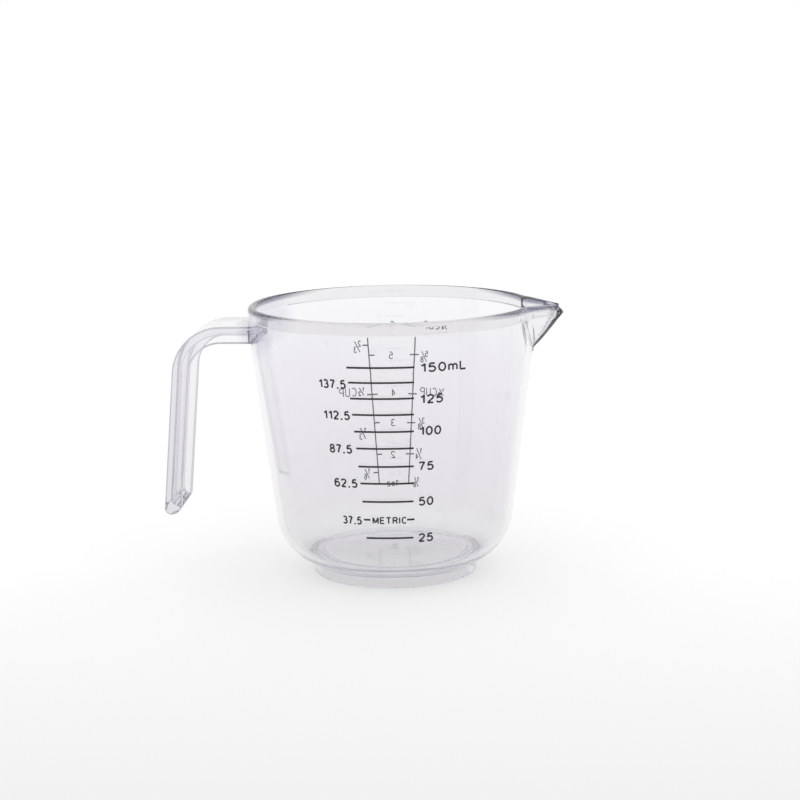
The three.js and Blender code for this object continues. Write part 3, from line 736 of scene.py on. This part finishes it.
# The white sweep under the cup. It keeps a faint shadow: most of its tone, which eyes and clear plastic see,
# is a painted glow of its own, which lightens the shadow, and the rest is lit. Painted shade makes the tone
# fall off slowly towards the front.
SWEEP_PAINTED_GLOW_SHARE = 0.58
SWEEP_FRONT_PAINTED_SHADE = 0.87
SWEEP_PAINTED_SHADE_FALL = 0.15
SWEEP_SIZE = 12
bpy.ops.object.select_all(action="DESELECT")
bpy.ops.mesh.primitive_plane_add(size=SWEEP_SIZE, location=(0, SWEEP_SIZE / 4, 0))
floor = bpy.context.object
floor.name = "floor"
bpy.ops.object.transform_apply(location=True, rotation=True, scale=True)
sweep = bpy.data.materials.new("white_paper_sweep")
sweep.use_nodes = True
sweep.node_tree.nodes.clear()
surface = add_node(sweep, "ShaderNodeOutputMaterial")
mix = add_node(sweep, "ShaderNodeMixShader", links=[("Shader", surface, "Surface")])
lit = add_node(sweep, "ShaderNodeBsdfDiffuse", links=[("BSDF", mix, 1)])
# Painted glow: the sweep's own light, seen by eyes and clear plastic.
painted_glow = add_node(sweep, "ShaderNodeEmission", {"Strength": 1.0}, [("Emission", mix, 2)])
# Painted shade: both the glow and the lit colour darken towards the front.
fall = add_node(
    sweep, "ShaderNodeMapRange",
    {"From Min": -SWEEP_PAINTED_SHADE_FALL, "From Max": 0.0, "To Min": SWEEP_FRONT_PAINTED_SHADE, "To Max": 1.0},
    [("Result", painted_glow, "Color"), ("Result", lit, "Color")],
)
split = add_node(sweep, "ShaderNodeSeparateXYZ", links=[("Y", fall, "Value")])
add_node(sweep, "ShaderNodeTexCoord", links=[("Object", split, "Vector")])
share = add_node(
    sweep, "ShaderNodeMath", {"operation": "MULTIPLY", 1: SWEEP_PAINTED_GLOW_SHARE}, [("Value", mix, "Fac")]
)


def add_sight(owner, target, socket):
    seen = add_node(owner, "ShaderNodeMath", {"operation": "MAXIMUM"}, [("Value", target, socket)])
    mirrored = add_node(owner, "ShaderNodeMath", {"operation": "MAXIMUM"}, [("Value", seen, 0)])
    add_node(owner, "ShaderNodeLightPath", links=[
        ("Is Camera Ray", mirrored, 0), ("Is Glossy Ray", mirrored, 1), ("Is Transmission Ray", seen, 1),
    ])


add_sight(sweep, share, 0)
floor.data.materials.append(sweep)

# The even white room: plain white at strength 1 where it is seen, straight or through the plastic, and a
# little more where it lights the sweep, so that the sweep comes out as white as the room.
ROOM_LIGHT = 1.06
world = bpy.data.worlds.new("studio")
bpy.context.scene.world = world
world.use_nodes = True
background = world.node_tree.nodes["Background"]
background.inputs["Color"].default_value = linear("#ffffff")
strength = add_node(
    world, "ShaderNodeMapRange", {"To Min": ROOM_LIGHT, "To Max": 1.0}, [("Result", background, "Strength")]
)
add_sight(world, strength, "Value")

# The camera stands a little above the rim and right of the cup's middle, matched to the photograph. Clear
# plastic needs many bounces, so that light is not cut off between its walls.
WALL_BOUNCES = 64
GLOSS_BOUNCES = 48
SEE_THROUGH_BOUNCES = 32
bpy.ops.object.select_all(action="DESELECT")
bpy.ops.object.camera_add(
    location=(0.038578, -0.485096, 0.133514),
    rotation=(math.radians(79.4249), math.radians(0.9398), math.radians(3.3246)),
)
camera = bpy.context.object
camera.data.lens = 89.622
camera.data.sensor_width = 36
camera.data.clip_start = 0.01
bpy.context.scene.camera = camera
bpy.context.scene.view_settings.view_transform = "Standard"
bpy.context.scene.cycles.max_bounces = WALL_BOUNCES
bpy.context.scene.cycles.transmission_bounces = WALL_BOUNCES
bpy.context.scene.cycles.glossy_bounces = GLOSS_BOUNCES
bpy.context.scene.cycles.transparent_max_bounces = SEE_THROUGH_BOUNCES
